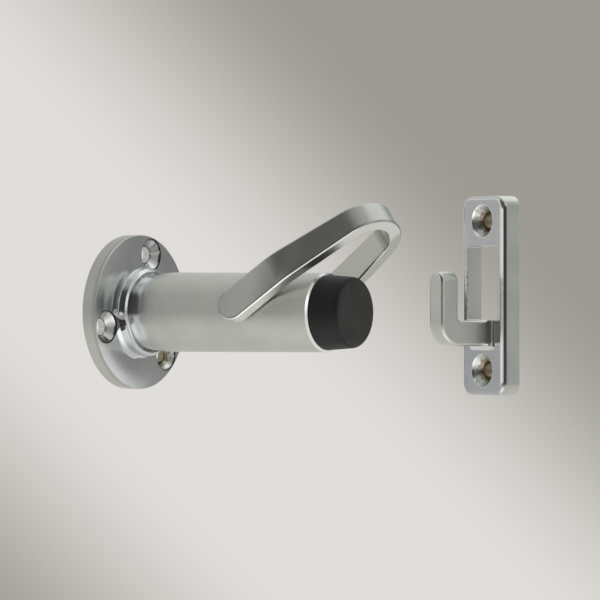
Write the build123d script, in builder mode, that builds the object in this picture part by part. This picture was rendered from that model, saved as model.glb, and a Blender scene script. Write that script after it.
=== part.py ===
from build123d import *
import os
from math import cos, radians, sin, tan

# Wall door stop with a swinging bail, and the hook plate that the bail holds.
# Millimetres. The origin is the centre of the wall face, +X points out of the wall,
# +Z is up and the bail's pivot lies along Y.

# Wall flange
flange_radius = 25.0
flange_thickness = 5.2
flange_edge_round = 0.3
flange_back_break = 0.3

# Wall screws: three countersunk holes, one of them at the top
wall_screw_count = 3
wall_screw_circle_radius = 19.4
wall_screw_radius = 2.65
wall_sink_radius = 5.0
wall_sink_mouth_radius = 5.3
wall_sink_mouth_depth = 0.35
wall_screw_start_angle = 90.0
sink_angle = 90.0

# Collar between the flange and the tube
collar_radius = 14.2
collar_length = 3.9
collar_cove_radius = 2.1
collar_edge_round = 0.3

# Tube, thickest a little in front of the collar and drawn in towards its end
neck_radius = 12.35
neck_round = 1.5
neck_swell_length = 11.0
tube_radius = 12.8
tube_end_radius = 12.4
tube_length = 71.9
tube_end_chamfer = 0.55

# Cored hollow behind the tube
core_mouth_radius = 8.8
core_end_radius = 8.0
core_depth = 44.0
core_corner_radius = 3.0

# Buffer and the plug that holds it in the tube's end
buffer_base_radius = 11.8
buffer_length = 10.65
buffer_front_radius = 10.95
buffer_front_round = 1.9
buffer_base_round = 0.25
plug_radius = 5.0
plug_length = 11.0
plug_barb_radius = 5.8
plug_barb_length = 2.4
plug_barb_start = 6.0
plug_tip_radius = 4.0
plug_clearance = 0.1

# Pivot pin
pivot_distance = 55.0
pin_radius = 2.0
pin_depth_in_leg = 2.6
pin_end_chamfer = 0.4
pin_press_clearance = 0.01
pin_running_clearance = 0.06
pin_end_clearance = 0.2

# Bail: a flat bar bent into a loop, wide at the pivot and narrower at its tip
bail_rest_angle = 38.7
bail_leg_gap = 0.5
bail_thickness = 4.35
bail_end_radius = 5.3
bail_end_overhang = 3.0
bail_tip_width = 7.5
bail_bend_distance = 13.5
bail_bend_angle = 11.6
bail_bend_radius = 20.65
bail_taper_radius = 60.0
bail_tip_inner_radius = 8.25
bail_edge_round = 0.7

# Hook plate, placed and turned as it is shown beside the stop
plate_centre = (132.4, -1.4, 5.0)
plate_lean = 16.0
plate_turn = -21.2
plate_width = 19.3
plate_height = 60.0
plate_thickness = 6.9
plate_corner_radius = 3.4
plate_edge_round = 1.3
plate_back_break = 0.3
window_width = 14.6
window_top = 15.0
window_sill = -7.4
window_corner_radius = 0.5
relief_depth = 1.9
relief_side_wall = 0.8
relief_end_margin = 1.5
relief_corner_radius = 1.0
plate_screw_spacing = 45.0
plate_screw_radius = 2.4
plate_sink_radius = 4.95

# Hook on the plate
hook_width = 6.5
hook_projection = 17.9
hook_thickness = 6.4
hook_arm_height = 7.7
hook_top = 7.2
hook_outer_corner = 7.0
hook_inner_corner = 1.0
hook_edge_round = 1.0
hook_root_depth = 1.0
pad_side_margin = 2.15
pad_foot_margin = 1.3
pad_height = 0.5
pad_corner_radius = 1.2

# Sizes that follow from the ones above
collar_front = flange_thickness + collar_length
swell_end = collar_front + neck_swell_length
tube_end = flange_thickness + tube_length
plug_bore_radius = plug_radius + plug_clearance
barb_bore_radius = plug_barb_radius + plug_clearance
plug_bore_depth = plug_length + plug_clearance
leg_inner_offset = tube_end_radius + (tube_radius - tube_end_radius) * (
    (tube_end - pivot_distance) / (tube_end - swell_end)
) + bail_leg_gap
leg_outer_offset = leg_inner_offset + bail_thickness
pin_bore_radius = pin_radius + pin_press_clearance
leg_bore_radius = pin_radius + pin_running_clearance
leg_bore_depth = pin_depth_in_leg + pin_end_clearance
pin_length = 2 * (leg_inner_offset + pin_depth_in_leg)
hook_foot = window_sill - hook_arm_height
bend = radians(bail_bend_angle)
bend_corner = bail_bend_distance + bail_bend_radius * tan(bend / 2)
tip_corner = bend_corner + leg_inner_offset / tan(bend)
tip_arc_centre = tip_corner - bail_tip_inner_radius / sin(bend)
bail_reach = tip_arc_centre + bail_tip_inner_radius + bail_thickness


def circle_edge(part, distance, radius):
    """The circular edge of a turned form at a distance from the wall."""
    circles = part.edges().filter_by(GeomType.CIRCLE)
    at_place = circles.filter_by(lambda edge: abs(edge.arc_center.X - distance) < 0.01)
    return at_place.filter_by(lambda edge: abs(edge.radius - radius) < 0.01)


# Stop body: flange, collar and tube cast in one piece
with BuildPart() as stop_body:
    with BuildSketch(Plane.XZ):
        with BuildLine():
            Polyline(
                (collar_front, neck_radius),
                (collar_front, collar_radius),
                (flange_thickness, collar_radius),
                (flange_thickness, flange_radius),
                (0, flange_radius),
                (0, 0),
                (tube_end, 0),
                (tube_end, tube_end_radius),
                (swell_end, tube_radius),
            )
            Spline(
                (collar_front, neck_radius),
                (swell_end, tube_radius),
                tangents=((1, 0), (tube_end - swell_end, tube_end_radius - tube_radius)),
            )
        make_face()
    revolve(axis=Axis.X)
    fillet(circle_edge(stop_body, flange_thickness, collar_radius), collar_cove_radius)
    fillet(circle_edge(stop_body, collar_front, collar_radius), collar_edge_round)
    fillet(circle_edge(stop_body, collar_front, neck_radius), neck_round)
    fillet(circle_edge(stop_body, flange_thickness, flange_radius), flange_edge_round)
    chamfer(circle_edge(stop_body, 0, flange_radius), flange_back_break)
    chamfer(circle_edge(stop_body, tube_end, tube_end_radius), tube_end_chamfer)

    # Countersunk wall screws, each with a short straight mouth that nicks the collar's cove
    with Locations(Plane.YZ.offset(flange_thickness - wall_sink_mouth_depth)):
        with PolarLocations(wall_screw_circle_radius, wall_screw_count, wall_screw_start_angle):
            CounterSinkHole(wall_screw_radius, wall_sink_radius, counter_sink_angle=sink_angle)
            Cylinder(
                wall_sink_mouth_radius,
                wall_sink_mouth_depth + collar_length,
                align=(Align.CENTER, Align.CENTER, Align.MIN),
                mode=Mode.SUBTRACT,
            )

    # Cored hollow, open at the wall face
    with BuildSketch(Plane.XZ):
        with BuildLine():
            Polyline(
                (0, 0),
                (0, core_mouth_radius),
                (core_depth, core_end_radius),
                (core_depth, 0),
                close=True,
            )
        core_face = make_face()
        fillet(
            core_face.vertices().sort_by_distance((core_depth, core_end_radius))[0],
            core_corner_radius,
        )
    revolve(axis=Axis.X, mode=Mode.SUBTRACT)

    # Bore for the buffer's plug, widened where its barb sits
    with BuildSketch(Plane.XZ):
        with BuildLine():
            Polyline(
                (tube_end, 0),
                (tube_end, plug_bore_radius),
                (tube_end - plug_barb_start, plug_bore_radius),
                (tube_end - plug_barb_start, barb_bore_radius),
                (tube_end - plug_bore_depth, barb_bore_radius),
                (tube_end - plug_bore_depth, 0),
                close=True,
            )
        make_face()
    revolve(axis=Axis.X, mode=Mode.SUBTRACT)

    # Cross bore for the pivot pin
    with BuildSketch(Plane.XZ):
        with Locations((pivot_distance, 0)):
            Circle(pin_bore_radius)
    extrude(amount=flange_radius, both=True, mode=Mode.SUBTRACT)


# Pivot pin, pressed across the tube, with its ends in the bail's legs
with BuildPart() as pivot_pin:
    with BuildSketch(Plane.XZ):
        with Locations((pivot_distance, 0)):
            Circle(pin_radius)
    extrude(amount=pin_length / 2, both=True)
    chamfer(pivot_pin.edges().filter_by(GeomType.CIRCLE), pin_end_chamfer)


# Rubber buffer with its barbed plug
with BuildPart() as rubber_buffer:
    with BuildSketch(Plane.XZ):
        with BuildLine():
            Polyline(
                (tube_end + buffer_length, 0),
                (tube_end + buffer_length, buffer_front_radius),
                (tube_end, buffer_base_radius),
                (tube_end, plug_radius),
                (tube_end - plug_barb_start, plug_radius),
                (tube_end - plug_barb_start, plug_barb_radius),
                (tube_end - plug_barb_start - plug_barb_length, plug_barb_radius),
                (tube_end - plug_length, plug_tip_radius),
                (tube_end - plug_length, 0),
                close=True,
            )
        make_face()
    revolve(axis=Axis.X)
    fillet(
        circle_edge(rubber_buffer, tube_end + buffer_length, buffer_front_radius),
        buffer_front_round,
    )
    fillet(circle_edge(rubber_buffer, tube_end, buffer_base_radius), buffer_base_round)


def bail_side_line(offset):
    """One side line of the bent bar, at an offset from the bar's inner side."""
    half_gap = leg_inner_offset + offset
    leg_end = -bail_end_overhang - bail_end_radius
    leg_corner = bend_corner + offset * tan(bend / 2)
    loop_corner = tip_corner + offset * (tan(bend / 2) + 1 / tan(bend))
    return FilletPolyline(
        (leg_end, half_gap),
        (leg_corner, half_gap),
        (loop_corner, 0),
        (leg_corner, -half_gap),
        (leg_end, -half_gap),
        radius=(
            bail_bend_radius + offset,
            bail_tip_inner_radius + offset,
            bail_bend_radius + offset,
        ),
    )


# Bail: the bar's plan outline, cut to its tapering side outline
leg_direction = (cos(radians(bail_rest_angle)), 0, sin(radians(bail_rest_angle)))
loop_normal = (-sin(radians(bail_rest_angle)), 0, cos(radians(bail_rest_angle)))
loop_plane = Plane(origin=(pivot_distance, 0, 0), x_dir=leg_direction, z_dir=loop_normal)
leg_side_plane = Plane(origin=(pivot_distance, 0, 0), x_dir=leg_direction, z_dir=(0, -1, 0))

with BuildPart() as bail_loop:
    with BuildSketch(loop_plane):
        with BuildLine():
            outer_side = bail_side_line(bail_thickness)
            Line(outer_side @ 1, outer_side @ 0)
        make_face()
        with BuildLine():
            inner_side = bail_side_line(0)
            Line(inner_side @ 1, inner_side @ 0)
        make_face(mode=Mode.SUBTRACT)
    extrude(amount=bail_end_radius, both=True)

    with BuildSketch(leg_side_plane):
        with BuildLine():
            upper_edge = FilletPolyline(
                (-bail_end_overhang, bail_end_radius),
                (bail_bend_distance, bail_end_radius),
                (bail_reach + bail_thickness, bail_tip_width / 2),
                radius=bail_taper_radius,
            )
            lower_edge = FilletPolyline(
                (-bail_end_overhang, -bail_end_radius),
                (bail_bend_distance, -bail_end_radius),
                (bail_reach + bail_thickness, -bail_tip_width / 2),
                radius=bail_taper_radius,
            )
            Line(upper_edge @ 1, lower_edge @ 1)
            ThreePointArc(
                upper_edge @ 0,
                (-bail_end_overhang - bail_end_radius, 0),
                lower_edge @ 0,
            )
        make_face()
    extrude(amount=2 * leg_outer_offset, both=True, mode=Mode.INTERSECT)

    across_seams = bail_loop.edges().filter_by(Axis.Y, reverse=True)
    bar_corners = across_seams.filter_by(Axis((0, 0, 0), loop_normal), reverse=True)
    fillet(bar_corners, bail_edge_round)

    # Blind bores for the pivot pin, in the legs' inner faces
    with BuildSketch(leg_side_plane):
        Circle(leg_bore_radius)
    extrude(amount=leg_inner_offset + leg_bore_depth, both=True, mode=Mode.SUBTRACT)


# Hook, made on its own so that its edges are rounded before it joins the plate
plate_place = Location(plate_centre, (plate_lean, 0, plate_turn))
plate_plane = Plane(plate_place * Location((0, 0, 0), (90, 0, 0)))
hook_side_plane = Plane(
    origin=plate_plane.origin,
    x_dir=plate_plane.z_dir,
    z_dir=-plate_plane.x_dir,
)

with BuildPart() as hook:
    with BuildSketch(hook_side_plane):
        with BuildLine():
            inner_outline = FilletPolyline(
                (-hook_root_depth, window_sill),
                (hook_projection - hook_thickness, window_sill),
                (hook_projection - hook_thickness, hook_top),
                radius=hook_inner_corner,
            )
            outer_outline = FilletPolyline(
                (-hook_root_depth, hook_foot),
                (hook_projection, hook_foot),
                (hook_projection, hook_top),
                radius=hook_outer_corner,
            )
            Line(inner_outline @ 0, outer_outline @ 0)
            Line(inner_outline @ 1, outer_outline @ 1)
        make_face()
    extrude(amount=hook_width / 2, both=True)

    with BuildSketch(plate_plane.offset(-hook_root_depth)):
        with Locations((0, hook_top - hook_width / 2)):
            Circle(hook_width / 2)
            Rectangle(hook_width, hook_top - hook_foot, align=(Align.CENTER, Align.MAX))
    extrude(amount=hook_root_depth + hook_projection, mode=Mode.INTERSECT)

    root_face = hook.faces().sort_by(Axis(plate_centre, plate_plane.z_dir))[0]
    fillet(hook.edges() - root_face.edges(), hook_edge_round)


# Hook plate: plate, pad and hook cast in one piece
with BuildPart() as hook_plate:
    with BuildSketch(plate_plane):
        RectangleRounded(plate_width, plate_height, plate_corner_radius)
    extrude(amount=-plate_thickness)
    faces_by_depth = hook_plate.faces().sort_by(Axis(plate_centre, plate_plane.z_dir))
    front_edges = faces_by_depth[-1].edges()
    back_edges = faces_by_depth[0].edges()
    fillet(front_edges, plate_edge_round)
    chamfer(back_edges, plate_back_break)

    # Raised pad around the hook's root, flush with the window's sill
    with BuildSketch(plate_plane):
        with Locations((0, window_sill)):
            pad_outline = Rectangle(
                hook_width + 2 * pad_side_margin,
                hook_arm_height + pad_foot_margin,
                align=(Align.CENTER, Align.MAX),
            )
        fillet(pad_outline.vertices().group_by(Axis.Y)[0], pad_corner_radius)
    extrude(amount=pad_height)

    # Window through the plate behind the hook
    with BuildSketch(plate_plane):
        with Locations((0, (window_top + window_sill) / 2)):
            RectangleRounded(window_width, window_top - window_sill, window_corner_radius)
    extrude(amount=-plate_thickness, mode=Mode.SUBTRACT)

    # Shallow relief in the back, round the window and clear of the screws
    with BuildSketch(plate_plane.offset(-plate_thickness)):
        with Locations((0, (window_top + window_sill) / 2)):
            RectangleRounded(
                plate_width - 2 * relief_side_wall,
                window_top - window_sill + 2 * relief_end_margin,
                relief_corner_radius,
            )
    extrude(amount=relief_depth, mode=Mode.SUBTRACT)

    # Countersunk screw holes above and below the window
    with Locations(plate_plane):
        with Locations((0, plate_screw_spacing / 2), (0, -plate_screw_spacing / 2)):
            CounterSinkHole(plate_screw_radius, plate_sink_radius, counter_sink_angle=sink_angle)

    add(hook.part)


stop_body.part.label = "stop_body"
pivot_pin.part.label = "pivot_pin"
rubber_buffer.part.label = "rubber_buffer"
bail_loop.part.label = "bail_loop"
hook_plate.part.label = "hook_plate"

os.makedirs("parts", exist_ok=True)
export_step(stop_body.part, "parts/stop_body.step")
export_step(pivot_pin.part, "parts/pivot_pin.step")
export_step(rubber_buffer.part, "parts/rubber_buffer.step")
export_step(bail_loop.part, "parts/bail_loop.step")
export_step(hook_plate.part, "parts/hook_plate.step")
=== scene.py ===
import bpy
from mathutils import Matrix, Vector

# Wall door stop with a swinging bail, beside its hook plate. Metres, in the CAD's frame.
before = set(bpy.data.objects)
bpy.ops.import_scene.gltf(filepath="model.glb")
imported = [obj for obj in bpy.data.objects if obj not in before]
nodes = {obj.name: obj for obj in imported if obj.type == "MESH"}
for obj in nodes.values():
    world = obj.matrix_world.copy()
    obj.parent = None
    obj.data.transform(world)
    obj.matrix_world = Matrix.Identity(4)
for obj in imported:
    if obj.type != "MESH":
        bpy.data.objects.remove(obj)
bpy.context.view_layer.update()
scene = bpy.context.scene
scene.view_settings.view_transform = "Standard"
scene.view_settings.look = "None"

# The photograph's camera
camera_place = Vector((0.58314, -0.75657, -0.21288))
camera_right = Vector((0.835744, 0.527847, 0.151357))
camera_up = Vector((0.0, -0.275637, 0.961262))
camera_look = Vector((-0.549119, 0.803370, 0.230362))
camera_lens = 180.0
camera_sensor = 36.0

# Places on the stop, from the CAD
stop_axis = Vector((1, 0, 0))
flange_front = 0.0052
flange_radius = 0.0250
collar_front = 0.0091
tube_end = 0.0771
end_ring_start = tube_end - 0.00056
end_ring_full = tube_end - 0.00052
hole_circle = 0.0194
hole_mouth = 0.0053
half_root_three = 0.8660254
hole_centres = [
    Vector((flange_front, across * hole_circle, up * hole_circle))
    for across, up in ((0.0, 1.0), (-half_root_three, -0.5), (half_root_three, -0.5))
]
buffer_front = 0.0876

# Places on the bail
bail_end = (0.05266, 0.0, -0.00188)
bail_end_backward = (-0.780, 0.0, -0.625)
bail_bend = 0.0680
bail_speck = (0.0909, 0.0063, 0.0267)

# The hook plate's axes, and places measured along them from the middle of its face
plate_centre = Vector((0.1324, -0.0014, 0.0050))
plate_normal = Vector((-0.361625, -0.896207, -0.256983))
plate_up = Vector((0.0, -0.275637, 0.961262))
plate_across = Vector((0.932324, -0.347616, -0.099677))
plate_screws = [plate_centre + plate_up * height for height in (0.0225, -0.0225)]
plate_thickness = 0.0069
plate_sink = 0.00495
window_left = -0.0073
window_top = 0.0150
pad_height = 0.0005
pad_side = 0.0054
hook_side = 0.00325
hook_foot = -0.0151

# Degrees that a countersunk hole's wall leans: at its worn mouth, cone and bore
mouth_lean = 62.0
cone_lean = 45.0
bore_lean = 90.0

satin_colour = (0.62, 0.632, 0.59, 1)
bright_colour = (0.68, 0.70, 0.70, 1)
bail_colour = (0.49, 0.50, 0.467, 1)

# Colours of stains and wear, and of painted shade and painted highlights, each from its
# darkest to its lightest
brass_brown = ((0.13, 0.10, 0.05, 1), (0.33, 0.27, 0.16, 1))
shadow_line = ((0.05, 0.05, 0.05, 1), (0.12, 0.12, 0.12, 1))
# Painted highlight: near-white lines where rims and edges catch the light
painted_highlight = ((0.93, 0.93, 0.92, 1), (0.98, 0.98, 0.97, 1))
chipped = ((0.10, 0.08, 0.05, 1), (0.22, 0.17, 0.10, 1))
rim_painted_shade = ((0.35, 0.36, 0.33, 1), (0.40, 0.41, 0.38, 1))
brink_painted_shade = ((0.16, 0.16, 0.15, 1), (0.20, 0.20, 0.19, 1))
foot_painted_shade = ((0.34, 0.36, 0.40, 1), (0.38, 0.40, 0.44, 1))
underside_painted_light = ((0.78, 0.79, 0.76, 1), (0.84, 0.85, 0.82, 1))
far_leg_painted_shade = ((0.41, 0.42, 0.37, 1), (0.45, 0.46, 0.41, 1))
scratched = ((0.36, 0.37, 0.32, 1), (0.42, 0.43, 0.38, 1))


class Nodes:
    """A node tree that is filled with short calls."""

    def __init__(self, tree):
        self.tree = tree
        tree.nodes.clear()

    def add(self, kind, settings=None, **inputs):
        made = self.tree.nodes.new(kind)
        for key, value in (settings or {}).items():
            setattr(made, key, value)
        for key, value in inputs.items():
            self.put(made, key, value)
        return made

    def put(self, made, key, value):
        socket = made.inputs[key]
        if isinstance(value, bpy.types.NodeSocket):
            self.tree.links.new(value, socket)
        else:
            socket.default_value = value

    def math(self, operation, first, second=0.0):
        made = self.add("ShaderNodeMath", {"operation": operation})
        self.put(made, 0, first)
        self.put(made, 1, second)
        return made.outputs[0]

    def product(self, first, *others):
        for other in others:
            first = self.math("MULTIPLY", first, other)
        return first

    def opposite(self, value):
        return self.math("SUBTRACT", 1.0, value)

    def centred(self, noise, size):
        """A noise of a given size that goes as far below nothing as above it."""
        return self.product(self.math("SUBTRACT", noise, 0.5), size)

    def step(self, value, low, high, low_result=0.0, high_result=1.0):
        made = self.add("ShaderNodeMapRange", {"interpolation_type": "SMOOTHSTEP"})
        self.put(made, "Value", value)
        self.put(made, "From Min", low)
        self.put(made, "From Max", high)
        self.put(made, "To Min", low_result)
        self.put(made, "To Max", high_result)
        return made.outputs[0]

    def fade(self, value, low, high, start=1.0):
        """A step from start down to nothing."""
        return self.step(value, low, high, start, 0.0)

    def mix(self, factor, first, second, blend="MIX"):
        made = self.add("ShaderNodeMix", {"data_type": "RGBA", "blend_type": blend})
        self.put(made, 0, factor)
        self.put(made, 6, first)
        self.put(made, 7, second)
        return made.outputs[2]

    def noise(self, place, scale, detail=2.0, roughness=0.5):
        made = self.add("ShaderNodeTexNoise", Vector=place, Scale=scale)
        self.put(made, "Detail", detail)
        self.put(made, "Roughness", roughness)
        return made.outputs[0]

    def split(self, vector):
        return self.add("ShaderNodeSeparateXYZ", Vector=vector).outputs

    def join(self, **parts):
        return self.add("ShaderNodeCombineXYZ", **parts).outputs[0]

    def surface_normal(self):
        return self.add("ShaderNodeNewGeometry").outputs["Normal"]

    def camera_ray(self):
        return self.add("ShaderNodeLightPath").outputs["Is Camera Ray"]

    def vector(self, operation, first, second=(0, 0, 0), output="Vector"):
        made = self.add("ShaderNodeVectorMath", {"operation": operation})
        self.put(made, 0, first)
        self.put(made, 1, second)
        return made.outputs[output]

    def dot(self, first, second):
        return self.vector("DOT_PRODUCT", first, second, "Value")

    def length(self, vector):
        return self.vector("LENGTH", vector, output="Value")

    def distance(self, first, second):
        return self.vector("DISTANCE", first, second, "Value")

    def scaled(self, vector, factor):
        made = self.add("ShaderNodeVectorMath", {"operation": "SCALE"})
        self.put(made, 0, vector)
        self.put(made, "Scale", factor)
        return made.outputs["Vector"]

    def blend(self, factor, first, second):
        """Between two normals."""
        made = self.add("ShaderNodeMix", {"data_type": "VECTOR"})
        self.put(made, 0, factor)
        self.put(made, 4, first)
        self.put(made, 5, second)
        return made.outputs[1]

    def leaning(self, axis, across, degrees):
        """A normal that leans from an axis towards a direction across it."""
        angle = self.math("RADIANS", degrees)
        along = self.scaled(axis, self.math("COSINE", angle))
        aside = self.scaled(across, self.math("SINE", angle))
        return self.vector("ADD", along, aside)


def new_material(name):
    material = bpy.data.materials.new(name)
    material.use_nodes = True
    tree = Nodes(material.node_tree)
    shader = tree.add("ShaderNodeBsdfPrincipled")
    out = tree.add("ShaderNodeOutputMaterial")
    tree.put(out, "Surface", shader.outputs[0])
    place = tree.add("ShaderNodeTexCoord").outputs["Object"]
    return material, tree, shader, place


def dress(name, material):
    node = nodes[name]
    node.data.materials.clear()
    node.data.materials.append(material)


def chrome(
    name,
    satin,
    bright,
    bright_mask,
    shape,
    marks_and_painted_light,
    cast=0.5,
    blast=0.5,
    metal=satin_colour,
):
    """Plated metal: satin with a fine blasted grain, polished where bright_mask says."""
    material, tree, shader, place = new_material(name)
    polished = bright_mask(tree, place)
    grain = tree.noise(place, 6500.0, 3.0, 0.6)
    speckle = tree.noise(place, 1400.0, 3.0, 0.6)
    cloud = tree.noise(place, 70.0, 3.0)
    smear = tree.noise(place, 260.0)

    dull = tree.math("ADD", satin, tree.centred(cloud, 0.10))
    dull = tree.math("ADD", dull, tree.centred(grain, 0.08))
    shine = tree.math("ADD", bright, tree.centred(smear, 0.06))
    rough = tree.add("ShaderNodeMix", {"data_type": "FLOAT"})
    tree.put(rough, 0, polished)
    tree.put(rough, 2, dull)
    tree.put(rough, 3, shine)

    mottle = tree.math("ADD", tree.product(cloud, 0.6), tree.product(speckle, 0.4))
    mottle = tree.step(mottle, 0.38, 0.62)
    tone = tree.mix(mottle, (0.90, 0.905, 0.91, 1), (1, 1, 1, 1))
    colour = tree.mix(polished, metal, bright_colour)
    colour = tree.mix(1.0, colour, tone, "MULTIPLY")
    # Stains and wear, and painted shade and painted highlights, laid over the metal's
    # colour.
    for amount, (dark, light) in marks_and_painted_light(tree, place):
        colour = tree.mix(amount, colour, tree.mix(grain, dark, light))

    height = tree.math("ADD", grain, tree.product(speckle, cast))
    bump = tree.add("ShaderNodeBump", Height=height, Distance=0.00002)
    tree.put(bump, "Strength", tree.product(tree.opposite(polished), blast))
    tree.put(bump, "Normal", shape(tree, place))

    tree.put(shader, "Base Color", colour)
    tree.put(shader, "Metallic", 1.0)
    tree.put(shader, "Roughness", rough.outputs[0])
    tree.put(shader, "Normal", bump.outputs[0])
    return material


def hole_place(tree, place, centre, axis):
    """Depth below a hole's mouth, and the vector across from the hole's axis."""
    offset = tree.vector("SUBTRACT", place, centre)
    depth = tree.product(tree.dot(offset, axis), -1.0)
    across = tree.vector("ADD", offset, tree.scaled(axis, depth))
    return depth, across


def sink_normal(tree, place, centre, axis, mouth_depth, bore_depth):
    """The smooth normal inside a countersunk hole, with the depth and the reach there."""
    depth, across = hole_place(tree, place, centre, axis)
    inward = tree.scaled(tree.vector("NORMALIZE", across), -1.0)
    cone = tree.step(depth, mouth_depth, mouth_depth + 0.0004, mouth_lean, cone_lean)
    bore_rise = bore_lean - cone_lean
    bore = tree.step(depth, bore_depth - 0.0004, bore_depth + 0.0003, 0.0, bore_rise)
    sunk = tree.leaning(axis, inward, tree.math("ADD", cone, bore))
    return sunk, depth, tree.length(across)


def bore_stain(tree, place, centres, radius, axis, full_depth, back):
    """Old brass-brown in the bores of screw holes, patchy towards the mouth."""
    patch = tree.centred(tree.noise(place, 900.0), 0.0035)
    amount = 0.0
    for centre in centres:
        depth, across = hole_place(tree, place, centre, axis)
        worn = tree.math("ADD", depth, patch)
        here = tree.product(
            tree.fade(tree.length(across), radius, radius * 1.1),
            tree.step(worn, full_depth - 0.0007, full_depth, 0.0, 0.85),
            tree.fade(depth, back - 0.0002, back - 0.0001),
        )
        amount = tree.math("MAXIMUM", amount, here)
    return amount


def hole_ring(tree, place, centre, axis, inner, outer, deepest):
    """A ring round a hole's mouth, from the face down to a depth."""
    depth, across = hole_place(tree, place, centre, axis)
    reach = tree.length(across)
    return tree.product(
        tree.step(reach, inner, inner + 0.0001),
        tree.fade(reach, outer, outer + 0.0001),
        tree.fade(depth, deepest, deepest + 0.0001),
    )


def stop_bright(tree, place):
    """Polished: the flange's front, its countersinks, the collar, neck and end ring."""
    x, y, z = tree.split(place)
    zone = tree.product(
        tree.step(x, flange_front - 0.00012, flange_front - 0.00003),
        tree.fade(x, collar_front + 0.0030, collar_front + 0.0072),
        tree.step(x, flange_front + 0.00008, flange_front + 0.0002, 0.84, 1.0),
    )
    end_ring = tree.step(x, end_ring_start, end_ring_full, 0.0, 0.8)
    zone = tree.math("MAXIMUM", zone, end_ring)
    flat = tree.join(X=flange_front, Y=y, Z=z)
    for centre in hole_centres:
        near = tree.fade(tree.distance(flat, centre), hole_mouth, hole_mouth + 0.0002)
        sink = tree.product(near, tree.step(x, 0.0, 0.0004))
        zone = tree.math("MAXIMUM", zone, sink)
        zone = tree.math("SUBTRACT", zone, tree.product(sink, 0.28))
    return zone


def stop_shape(tree, place):
    """Buffed forms finer than the CAD's: a domed flange, crisp collar, smooth holes."""
    x, y, z = tree.split(place)
    flat = tree.join(Y=y, Z=z)
    radius = tree.length(flat)
    outward = tree.vector("NORMALIZE", flat)

    dome = tree.step(radius, 0.0165, 0.026, 0.0, 7.0)
    wide_cove = tree.product(
        tree.step(tree.dot(outward, (0.0, -0.6, -0.8)), 0.72, 0.92),
        tree.fade(x, 0.0064, 0.00695),
        tree.step(x, flange_front, 0.0056, 0.0, 48.0),
    )
    lean = tree.math("ADD", dome, wide_cove)
    for low, high, rise in (
        (0.00525, 0.0063, 12.0),  # the cove's foot
        (0.0063, 0.00695, 72.0),  # up the collar's side
        (0.00875, 0.0090, -54.0),  # over the collar's edge
        (0.00912, 0.0094, 54.0),  # down to the neck
        (0.0764, 0.0766, -46.0),  # the chamfer at the tube's end
    ):
        lean = tree.math("ADD", lean, tree.step(x, low, high, 0.0, rise))

    turned = tree.math(
        "MAXIMUM",
        tree.fade(x, 0.0120, 0.0150),
        tree.step(x, end_ring_start, end_ring_full),
    )
    zone = tree.product(
        tree.step(x, flange_front - 0.00004, flange_front - 0.00002),
        turned,
        tree.fade(radius, flange_radius - 0.00035, flange_radius - 0.0002),
    )
    buffed = tree.leaning(stop_axis, outward, lean)
    normal = tree.blend(zone, tree.surface_normal(), buffed)
    for centre in hole_centres:
        sunk, depth, reach = sink_normal(tree, place, centre, stop_axis, 0.00035, 0.0027)
        inside = tree.product(
            tree.fade(reach, hole_mouth - 0.00025, hole_mouth - 0.0001),
            tree.step(depth, 0.0002, 0.0003),
            tree.fade(depth, flange_front - 0.0002, flange_front - 0.0001),
        )
        normal = tree.blend(inside, normal, sunk)
    return tree.vector("NORMALIZE", normal)


def stop_stains_and_painted_light(tree, place):
    """Painted shade on the rim, brown in the third hole, a painted highlight on the end
    ring and dark lines round holes.
    """
    x, y, z = tree.split(place)
    radius = tree.length(tree.join(Y=y, Z=z))
    on_rim = tree.step(radius, flange_radius - 0.0002, flange_radius + 0.0002)
    upper = tree.step(z, -0.006, 0.018, 0.3, 1.0)
    # Painted shade: the rim darker, most at its top, and darker still towards its front
    # edge.
    yield tree.product(on_rim, tree.step(x, 0.0042, 0.0049, 1.0, 0.25), upper), rim_painted_shade
    yield tree.product(on_rim, tree.step(x, 0.0032, 0.0048, 0.0, 0.7)), brink_painted_shade

    third = hole_centres[2:]
    brown = bore_stain(tree, place, third, hole_mouth, stop_axis, 0.0019, flange_front)
    yield brown, brass_brown

    # Painted highlight along the lower side of the tube's end ring.
    end_ring = tree.step(x, end_ring_start, end_ring_full)
    yield tree.product(end_ring, tree.fade(z, 0.001, 0.009)), painted_highlight

    inner = hole_mouth - 0.0003
    for centre in hole_centres:
        ring = hole_ring(tree, place, centre, stop_axis, inner, hole_mouth, 0.0009)
        yield ring, shadow_line


def plate_place(tree, place):
    """Across and up from the middle of the plate's face, and down from that face."""
    offset = tree.vector("SUBTRACT", place, plate_centre)
    across = tree.dot(offset, plate_across)
    up = tree.dot(offset, plate_up)
    down = tree.product(tree.dot(offset, plate_normal), -1.0)
    return across, up, down


def right_edge(tree, across, up, down):
    """One on the straight of the plate's right edge and side."""
    return tree.product(
        tree.fade(tree.math("ABSOLUTE", up), 0.0255, 0.0285),
        tree.step(across, 0.0083, 0.0085),
        tree.step(down, -0.0002, -0.0001),
    )


def buffed_edge(tree, across, up, down):
    """One on the plate's right edge, from its front to a little way down its side."""
    return tree.product(
        right_edge(tree, across, up, down),
        tree.fade(down, 0.0016, 0.0023),
    )


def plate_bright(tree, place):
    """The plate's front face and right edge are polished, its sides and hook satin."""
    across, up, down = plate_place(tree, place)
    front = tree.product(
        tree.fade(down, 0.0002, 0.0006),
        tree.step(down, -0.0004, -0.0002),
    )
    return tree.math("MAXIMUM", front, buffed_edge(tree, across, up, down))


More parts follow.
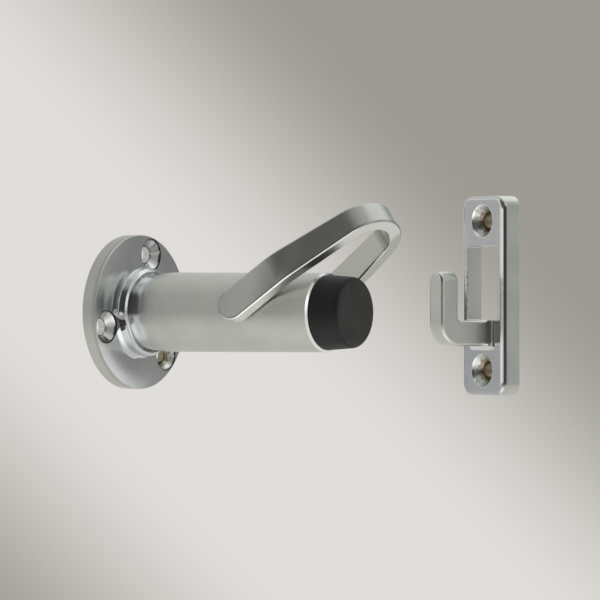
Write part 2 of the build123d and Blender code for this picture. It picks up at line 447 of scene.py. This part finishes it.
def plate_shape(tree, place):
    """Smooth countersinks in the hook plate, and a buffed edge along its right side."""
    across, up, down = plate_place(tree, place)
    lean = 0.0
    for value, low, high, rise in (
        (across, 0.0084, 0.0086, 16.0),
        (across, 0.0094, 0.00955, 28.0),
        (down, 0.0014, 0.0020, 44.0),
    ):
        lean = tree.math("ADD", lean, tree.step(value, low, high, 0.0, rise))
    edge = buffed_edge(tree, across, up, down)
    turned = tree.leaning(plate_normal, plate_across, lean)
    normal = tree.blend(edge, tree.surface_normal(), turned)
    for centre in plate_screws:
        sunk, depth, reach = sink_normal(tree, place, centre, plate_normal, 0.0, 0.00255)
        inside = tree.product(
            tree.fade(reach, plate_sink - 0.0001, plate_sink + 0.00005),
            tree.step(depth, 0.00003, 0.00008),
            tree.fade(depth, plate_thickness - 0.0002, plate_thickness - 0.0001),
        )
        normal = tree.blend(inside, normal, sunk)
    return tree.vector("NORMALIZE", normal)


def plate_stains_and_painted_light(tree, place):
    """Brown bores, painted highlights on the hole lips, edge and pad, painted shade on the
    face's foot, shade beside edge and hook, and chips.
    """
    inner = plate_sink - 0.0004
    outer = plate_sink + 0.0001
    # Painted highlight round the mouth of each screw hole.
    for centre in plate_screws:
        ring = hole_ring(tree, place, centre, plate_normal, inner, outer, 0.0006)
        yield ring, painted_highlight
    brown = bore_stain(
        tree, place, plate_screws, 0.005, plate_normal, 0.0019, plate_thickness
    )
    yield brown, brass_brown

    across, up, down = plate_place(tree, place)
    # Painted shade: the face darker and bluer towards its foot, round the hook.
    foot = tree.product(
        tree.fade(up, -0.020, -0.006, 0.55),
        tree.fade(tree.math("ABSOLUTE", down), 0.0003, 0.0006),
    )
    yield foot, foot_painted_shade

    # Painted highlight along the plate's right front edge.
    painted_edge_highlight = tree.product(
        tree.step(across, 0.0085, 0.0087),
        tree.fade(across, 0.0093, 0.0095),
        tree.fade(tree.math("ABSOLUTE", up), 0.0265, 0.0280),
    )
    yield painted_edge_highlight, painted_highlight
    beside_line = tree.product(
        right_edge(tree, across, up, down),
        tree.step(down, 0.0004, 0.0007),
        tree.fade(down, 0.0015, 0.0023, 0.35),
    )
    yield beside_line, shadow_line

    pad_beside_hook = tree.product(
        tree.step(down, -pad_height - 0.0002, -pad_height - 0.0001),
        tree.fade(down, -pad_height + 0.00005, -pad_height + 0.0001, 0.85),
        tree.step(across, hook_side - 0.00015, hook_side + 0.00005),
        tree.fade(across, pad_side - 0.0005, pad_side - 0.0003),
        tree.step(up, hook_foot - 0.0003, hook_foot + 0.0002),
    )
    yield pad_beside_hook, shadow_line
    # Painted highlight along the lip of the hook's pad.
    painted_pad_highlight = tree.product(
        tree.step(down, -0.0008, -0.0006),
        tree.fade(down, -0.0002, -0.0001),
        tree.opposite(pad_beside_hook),
    )
    yield painted_pad_highlight, painted_highlight

    from_window = tree.math("ABSOLUTE", tree.math("SUBTRACT", across, window_left))
    chips = tree.product(
        tree.fade(from_window, 0.0002, 0.0005),
        tree.step(tree.noise(place, 1500.0), 0.60, 0.68),
        tree.fade(up, window_top - 0.0015, window_top - 0.0005),
        tree.fade(down, 0.0003, 0.0007),
    )
    yield chips, chipped


def bail_bright(tree, place):
    """Satin all over, a little smoother in broad soft patches."""
    return tree.step(tree.noise(place, 45.0), 0.4, 0.7, 0.0, 0.22)


def bail_shape(tree, place):
    """The legs' bend, softened by the buffing wheel."""
    x = tree.split(place)[0]
    lean = tree.product(
        tree.step(x, bail_bend - 0.0110, bail_bend, 0.0, 0.06),
        tree.fade(x, bail_bend - 0.0008, bail_bend + 0.0025),
    )
    turned = tree.vector("ADD", tree.surface_normal(), tree.join(X=lean))
    return tree.vector("NORMALIZE", turned)


def bail_stains_and_painted_light(tree, place):
    """Painted light on the underside, a painted shade line round the legs' ends, painted
    shade on the far leg, scratches and a speck.
    """
    x, y, z = tree.split(place)
    facing_up = tree.split(tree.surface_normal())[2]
    # Painted light: faces that look down are painted paler.
    under = tree.fade(facing_up, -0.55, -0.30, 0.9)
    yield under, underside_painted_light

    from_end = tree.vector("MULTIPLY", tree.vector("SUBTRACT", place, bail_end), (1, 0, 1))
    outline = tree.product(
        tree.step(tree.length(from_end), 0.0043, 0.0050, 0.0, 0.6),
        tree.step(tree.dot(from_end, bail_end_backward), -0.0005, 0.0015),
        tree.opposite(under),
    )
    yield outline, shadow_line

    far_leg = tree.product(
        tree.step(y, 0.004, 0.007),
        tree.fade(y, 0.0135, 0.0145),
    )
    # Painted shade: the far leg's inside painted a darker grey.
    yield tree.product(far_leg, 0.7), far_leg_painted_shade
    crosswise = tree.math("ADD", x, tree.product(z, 2.2))
    lengthwise = tree.math("SUBTRACT", z, tree.product(x, 0.5))
    drawn = tree.join(
        X=tree.product(crosswise, 1500.0),
        Y=tree.product(lengthwise, 90.0),
    )
    lines = tree.step(tree.noise(drawn, 1.0, 4.0, 0.7), 0.50, 0.72, 0.0, 0.35)
    yield tree.product(lines, far_leg), scratched

    ragged = tree.centred(tree.noise(place, 1500.0), 0.002)
    from_speck = tree.math("ADD", tree.distance(place, bail_speck), ragged)
    yield tree.fade(from_speck, 0.0005, 0.0011, 0.9), chipped


def turned_steel():
    material, tree, shader, place = new_material("pin_steel")
    grooves = tree.noise(place, 3000.0)
    bump = tree.add("ShaderNodeBump", Height=grooves, Distance=0.00001)
    tree.put(shader, "Base Color", (0.56, 0.56, 0.55, 1))
    tree.put(shader, "Metallic", 1.0)
    tree.put(shader, "Roughness", tree.step(grooves, 0.3, 0.7, 0.25, 0.4))
    tree.put(shader, "Normal", bump.outputs[0])
    return material


def black_rubber():
    """Black moulded rubber, its front face painted greyer and lighter than its sides as
    painted light.
    """
    material, tree, shader, place = new_material("black_rubber")
    pores = tree.noise(place, 3600.0, 3.0, 0.6)
    bloom = tree.noise(place, 160.0, 3.0)
    x = tree.split(place)[0]
    body = tree.mix(
        tree.step(bloom, 0.35, 0.75),
        (0.007, 0.007, 0.0075, 1),
        (0.012, 0.012, 0.0115, 1),
    )
    # Painted light: the front face lighter than the sides.
    face = tree.mix(
        tree.step(bloom, 0.3, 0.7),
        (0.030, 0.030, 0.0285, 1),
        (0.044, 0.0435, 0.041, 1),
    )
    on_face = tree.step(x, buffer_front - 0.0007, buffer_front)
    bump = tree.add("ShaderNodeBump", Height=pores, Distance=0.00006, Strength=0.6)
    tree.put(shader, "Base Color", tree.mix(on_face, body, face))
    tree.put(shader, "Roughness", tree.step(pores, 0.25, 0.75, 0.5, 0.68))
    tree.put(shader, "Specular IOR Level", 0.36)
    tree.put(shader, "Normal", bump.outputs[0])
    return material


stop_chrome = chrome("stop_chrome", 0.43, 0.14, stop_bright, stop_shape, stop_stains_and_painted_light)
bail_chrome = chrome(
    "bail_chrome",
    0.32,
    0.25,
    bail_bright,
    bail_shape,
    bail_stains_and_painted_light,
    cast=0.2,
    blast=0.15,
    metal=bail_colour,
)
plate_chrome = chrome(
    "plate_chrome",
    0.34,
    0.15,
    plate_bright,
    plate_shape,
    plate_stains_and_painted_light,
    cast=3.5,
)
dress("stop_body", stop_chrome)
dress("bail_loop", bail_chrome)
dress("hook_plate", plate_chrome)
dress("pivot_pin", turned_steel())
dress("rubber_buffer", black_rubber())


# Soft boxes and cards all round, as the metal reflects them: the direction of each,
# the cosines where it begins and is full, its strength and its colour
studio_cards = (
    ((0.30, 0.92, 0.25), 0.70, 0.95, 0.85, (0.22, 0.22, 0.215, 1)),
    ((0.97, 0.22, 0.05), 0.84, 0.96, 0.8, (0.36, 0.36, 0.355, 1)),
    ((0.72, 0.66, -0.20), 0.92, 0.97, 0.95, (1.05, 1.05, 1.04, 1)),
    ((-0.55, 0.80, 0.20), 0.80, 0.97, 0.8, (0.95, 0.94, 0.92, 1)),
    ((-0.84, -0.53, -0.05), 0.80, 0.95, 0.85, (1.0, 1.0, 0.98, 1)),
    ((-0.97, -0.22, -0.07), 0.93, 0.985, 0.8, (0.42, 0.42, 0.42, 1)),
    ((0.93, -0.30, 0.20), 0.95, 0.985, 1.0, (1.1, 1.1, 1.08, 1)),
)
floor_level = -0.45
floor_half = 4.0
bright_pool = (0.24, -0.22, floor_level)


def front_sector(tree, across, forward):
    """One inside the dark sector in front of the object, where the room is unlit."""
    turn = tree.math("ARCTAN2", across, forward)
    return tree.product(
        tree.step(turn, -0.62, -0.48),
        tree.fade(turn, 0.84, 1.0),
    )


def make_floor():
    """A pale floor. To reflections it is dark far in front, and glows under the object."""
    mesh = bpy.data.meshes.new("floor")
    corners = [
        (x * floor_half, y * floor_half, floor_level)
        for x, y in ((-1, -1), (1, -1), (1, 1), (-1, 1))
    ]
    mesh.from_pydata(corners, [], [(0, 1, 2, 3)])
    floor = bpy.data.objects.new("floor", mesh)
    scene.collection.objects.link(floor)

    material, tree, shader, place = new_material("floor_paint")
    spots = tree.noise(place, 6.0, 3.0)
    pale = tree.mix(spots, (0.74, 0.73, 0.715, 1), (0.78, 0.77, 0.755, 1))
    reflected = tree.opposite(tree.camera_ray())
    x, y = tree.split(place)[:2]
    forward = tree.product(y, -1.0)
    far_front = tree.product(
        tree.step(forward, 0.65, 1.3, 0.0, 0.94),
        front_sector(tree, x, forward),
    )
    unlit = tree.product(far_front, reflected)
    glow = tree.product(
        tree.step(tree.distance(place, bright_pool), 0.14, 0.45, 1.0, 0.22),
        tree.opposite(far_front),
        reflected,
    )
    tree.put(shader, "Base Color", tree.mix(unlit, pale, (0.03, 0.03, 0.03, 1)))
    tree.put(shader, "Roughness", tree.step(spots, 0.2, 0.8, 0.75, 0.9))
    tree.put(shader, "Emission Color", (1.0, 0.99, 0.97, 1))
    tree.put(shader, "Emission Strength", glow)
    mesh.materials.append(material)


def make_world():
    """Behind the object a diagonal grey gradient; all round it a soft studio."""
    world = bpy.data.worlds.new("studio")
    scene.world = world
    world.use_nodes = True
    tree = Nodes(world.node_tree)
    way = tree.add("ShaderNodeTexCoord").outputs["Generated"]

    slant = tree.dot(way, camera_right + camera_up)
    backdrop = tree.mix(
        tree.math(
            "MAXIMUM",
            tree.step(slant, -0.026, 0.097),
            tree.fade(slant, -0.221, -0.098),
        ),
        (0.747, 0.725, 0.700, 1),
        (0.342, 0.326, 0.296, 1),
    )

    x, y, height = tree.split(way)
    studio = tree.mix(
        tree.step(height, 0.1, 0.75),
        (0.62, 0.62, 0.61, 1),
        (0.66, 0.66, 0.65, 1),
    )
    for aim, outer, inner, strength, paint in studio_cards:
        toward = tree.dot(way, Vector(aim).normalized())
        card = tree.step(toward, outer, inner, 0.0, strength)
        studio = tree.mix(card, studio, paint)
    unlit_room = tree.product(
        front_sector(tree, x, tree.product(y, -1.0)),
        tree.fade(height, 0.5, 0.8),
        0.95,
    )
    studio = tree.mix(unlit_room, studio, (0.045, 0.045, 0.043, 1))

    seen = tree.mix(tree.camera_ray(), studio, backdrop)
    paint = tree.add("ShaderNodeBackground", Color=seen, Strength=1.0)
    out = tree.add("ShaderNodeOutputWorld")
    tree.put(out, "Surface", paint.outputs[0])


def make_softbox():
    """A large soft light above, aimed at the tube."""
    place = Vector((0.15, 0.25, 0.95))
    target = Vector((0.07, 0, 0))
    data = bpy.data.lights.new("top_softbox", "AREA")
    data.shape = "RECTANGLE"
    data.size = 1.1
    data.size_y = 0.9
    data.energy = 1.7
    lamp = bpy.data.objects.new("top_softbox", data)
    lamp.location = place
    lamp.rotation_mode = "QUATERNION"
    lamp.rotation_quaternion = (target - place).to_track_quat("-Z", "Y")
    scene.collection.objects.link(lamp)


def make_camera():
    data = bpy.data.cameras.new("camera")
    data.lens = camera_lens
    data.sensor_width = camera_sensor
    data.clip_start = 0.01
    data.clip_end = 20.0
    camera = bpy.data.objects.new("camera", data)
    turn = Matrix((camera_right, camera_up, -camera_look)).transposed().to_4x4()
    camera.matrix_world = Matrix.Translation(camera_place) @ turn
    scene.collection.objects.link(camera)
    scene.camera = camera


make_floor()
make_world()
make_softbox()
make_camera()
